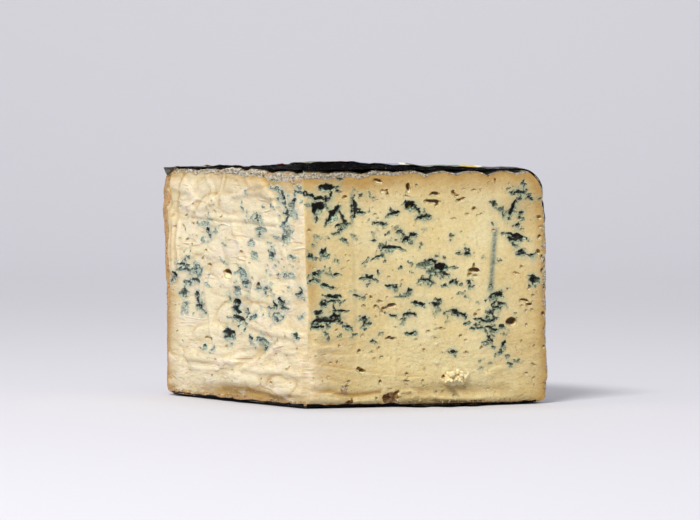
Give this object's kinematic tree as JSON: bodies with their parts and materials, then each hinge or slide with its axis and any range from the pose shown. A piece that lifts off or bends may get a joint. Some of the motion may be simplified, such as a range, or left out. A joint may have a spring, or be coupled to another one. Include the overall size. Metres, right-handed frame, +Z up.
{
  "type": "blue cheese wedge",
  "caption": "Large wedge of soft blue-veined cheese, its cut faces meeting in an upright nose, in black foil over its top, heel and base.",
  "frame": {"origin": "on the resting surface, under the middle of the wedge's bounding box", "axes": "+Z up, the nose where the two cut faces meet toward -Y, the round heel toward +Y, +X to the right as the nose is looked at"},
  "size_m": [0.2072, 0.1278, 0.1204],
  "materials": {
    "paste": "soft, slightly greasy cream to straw paste with blue-green veins, and a pale mouldy rind",
    "foil": "thin black lacquered foil, glossy and creased, bare silver inside",
    "paper": "thin printed paper, plain coloured rings"
  },
  "bodies": {
    "root": {"cheese": "paste", "wrap": "foil", "label": "paper"}
  },
  "joints": []
}
